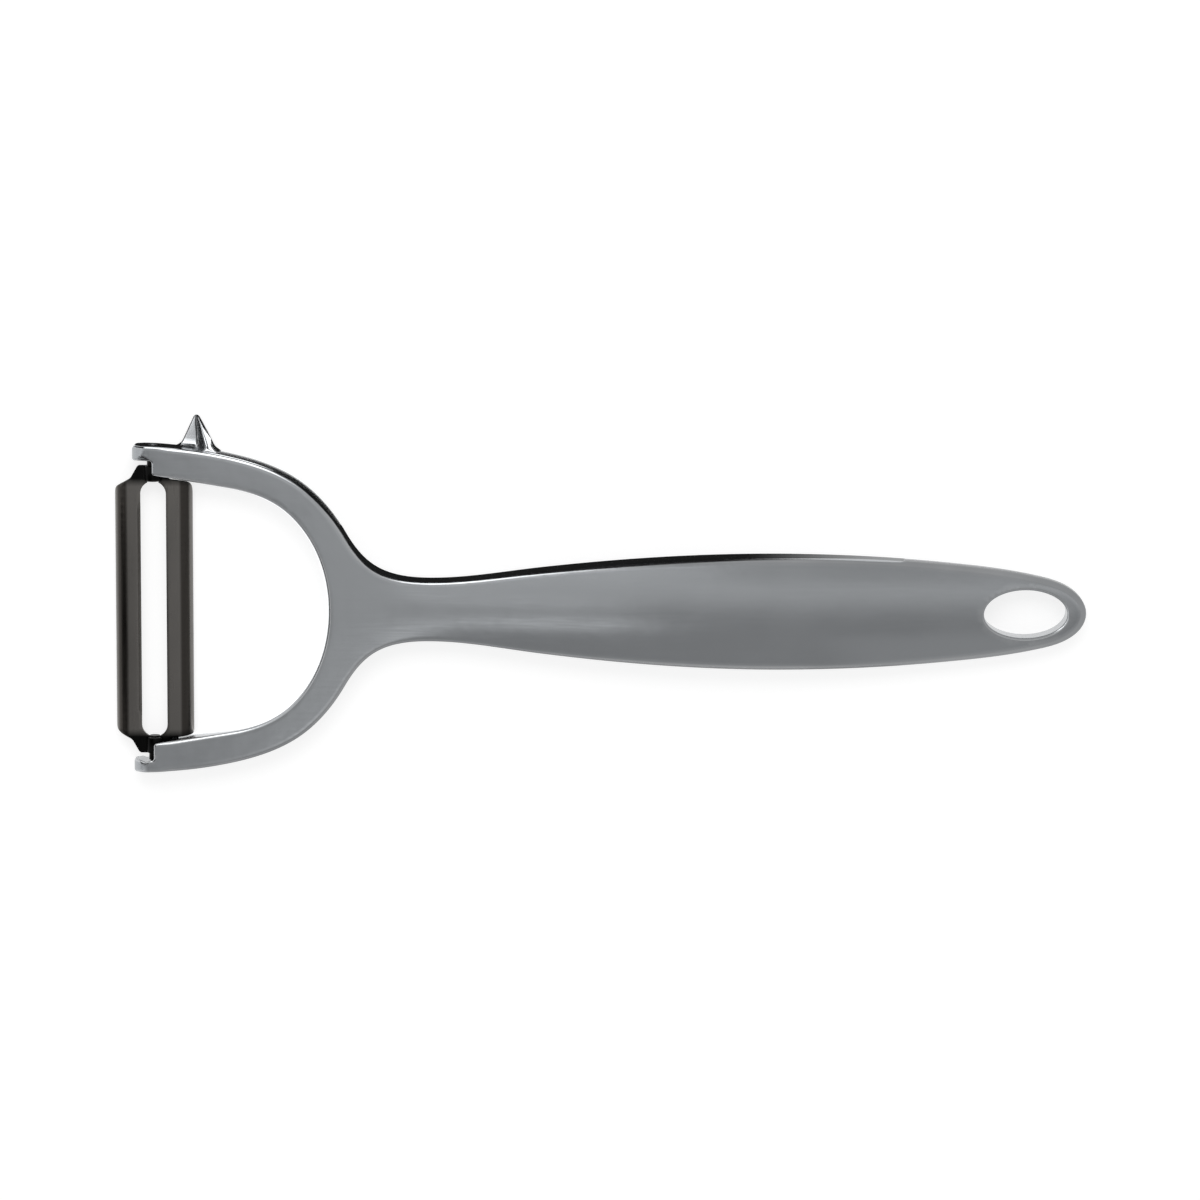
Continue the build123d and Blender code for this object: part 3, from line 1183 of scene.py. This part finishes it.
# Grey paper round the tip, turned up at its far edge
tip_overlap = 2
tip_gap = 0.3
tip_reach = 60
tip_rise = 150
tip_rows = []
tip_line = [point for point in outer_line if point.x > flag_end - tip_overlap]
tip_line += mirrored(tip_line[:-1])
for index, point in enumerate(tip_line[1:-1]):
    along = tip_line[index + 2] - tip_line[index]
    out = Vector((-along.y, along.x)).normalized()
    foot = point + out * tip_gap
    far = point + out * tip_reach
    tip_rows.append(((*foot, upper_card_rise), (*far, upper_card_rise), (*far, tip_rise)))
light_card(strip_card("tip_surround", tip_rows), 0.5)

# Bright paper inside the fork and along the lower arm, which their inner walls reflect
fork_floor_start = -66
arm_floor_start = -81
arm_floor_end = -62
arm_floor_width = 1.3
arm_floor_gap = 0.3
fork_floor_mesh = bmesh.new()
fork_inside = [point for point in inner_line if point.x > fork_floor_start]
fork_inside += mirrored(fork_inside[:-1])
fork_floor_mesh.faces.new([
    fork_floor_mesh.verts.new((*p, card_rise)) for p in fork_inside[::-1]
])
light_card(finish_mesh(fork_floor_mesh, "fork_floor"), 2.2)
arm_floor_rows = []
for point in inner_line:
    if arm_floor_start < point.x < arm_floor_end:
        share_along = (point.x - arm_floor_start) / (arm_floor_end - arm_floor_start)
        near_y = -point.y - arm_floor_gap
        far_y = -point.y + arm_floor_width * share_along
        arm_floor_rows.append((
            (point.x, near_y, upper_card_rise), (point.x, far_y, upper_card_rise),
        ))
light_card(strip_card("arm_floor", arm_floor_rows), 2.2)

# A grey ceiling, lighter towards the far side and the left, with soft patches that the blade and
# the fork reflect: each has its centre, its reach and the brightness that it adds
ceiling = flat_card("ceiling", (0, -285, 400), (0, 0, -1), 1200, 830)
tree = reflected_only(ceiling, "grey_ceiling")
spot = add_node(tree, "ShaderNodeNewGeometry").outputs["Position"]
axes = add_node(tree, "ShaderNodeSeparateXYZ", {"Vector": spot})
depth_tone = add_node(tree, "ShaderNodeMapRange", {
    "Value": axes.outputs["Y"], "From Min": -0.11, "From Max": 0.09, "To Min": 0.41, "To Max": 0.76,
}, interpolation_type="SMOOTHSTEP")
left_tone = add_node(tree, "ShaderNodeMapRange", {
    "Value": axes.outputs["X"], "From Min": -0.5, "From Max": -0.16, "To Min": 0.6, "To Max": 0.0,
})
ceiling_sum = add_node(tree, "ShaderNodeMath", {
    0: depth_tone.outputs["Result"], 1: left_tone.outputs["Result"],
}, operation="ADD")
for centre, reach, extra in (
    ((-0.050, -0.120, 0.4), 0.065, 0.7),
    ((-0.056, -0.070, 0.4), 0.045, 0.15),
    ((-0.062, -0.012, 0.4), 0.06, 0.3),
    ((-0.130, -0.030, 0.4), 0.07, -0.12),
):
    from_patch = add_node(tree, "ShaderNodeVectorMath", {0: spot, 1: centre}, operation="DISTANCE")
    patch = add_node(tree, "ShaderNodeMapRange", {
        "Value": from_patch.outputs["Value"], "From Min": 0.0, "From Max": reach,
        "To Min": extra, "To Max": 0.0,
    }, interpolation_type="SMOOTHSTEP")
    ceiling_sum = add_node(tree, "ShaderNodeMath", {
        0: ceiling_sum.outputs["Value"], 1: patch.outputs["Result"],
    }, operation="ADD")
shade = add_node(tree, "ShaderNodeEmission", {"Strength": ceiling_sum.outputs["Value"]})
add_node(tree, "ShaderNodeOutputMaterial", {"Surface": shade.outputs["Emission"]})

# A soft lamp above and behind, which no reflection shows
lamp = bpy.data.lights.new("soft_box", "AREA")
lamp.shape = "RECTANGLE"
lamp.size = 0.9
lamp.size_y = 0.6
lamp.energy = 5.0
soft_box = bpy.data.objects.new("soft_box", lamp)
soft_box.location = (-0.05, 0.75, 0.95)
soft_box.rotation_euler = (Vector(soft_box.location)).to_track_quat("Z", "Y").to_euler()
soft_box.visible_glossy = False
bpy.context.scene.collection.objects.link(soft_box)

# The camera, leaning a little towards the near side and rolled by a third of a degree
lens = bpy.data.cameras.new("camera")
lens.sensor_width = 36
lens.lens = 162.3
camera = bpy.data.objects.new("camera", lens)
bpy.context.scene.collection.objects.link(camera)
lean = radians(9.3)
roll = radians(0.31)
aim = Vector((-0.09, 2.43, 6.0)) * mm
camera_distance = 1.0
back_axis = Vector((0, sin(lean), cos(lean)))
right_axis = Vector((1, 0, 0))
up_axis = back_axis.cross(right_axis)
turn = Matrix((right_axis, up_axis, back_axis)).transposed() @ Matrix.Rotation(roll, 3, "Z")
eye = aim + back_axis * camera_distance
camera.matrix_world = Matrix.Translation(eye) @ turn.to_4x4()
bpy.context.scene.camera = camera
bpy.context.scene.view_settings.view_transform = "Standard"
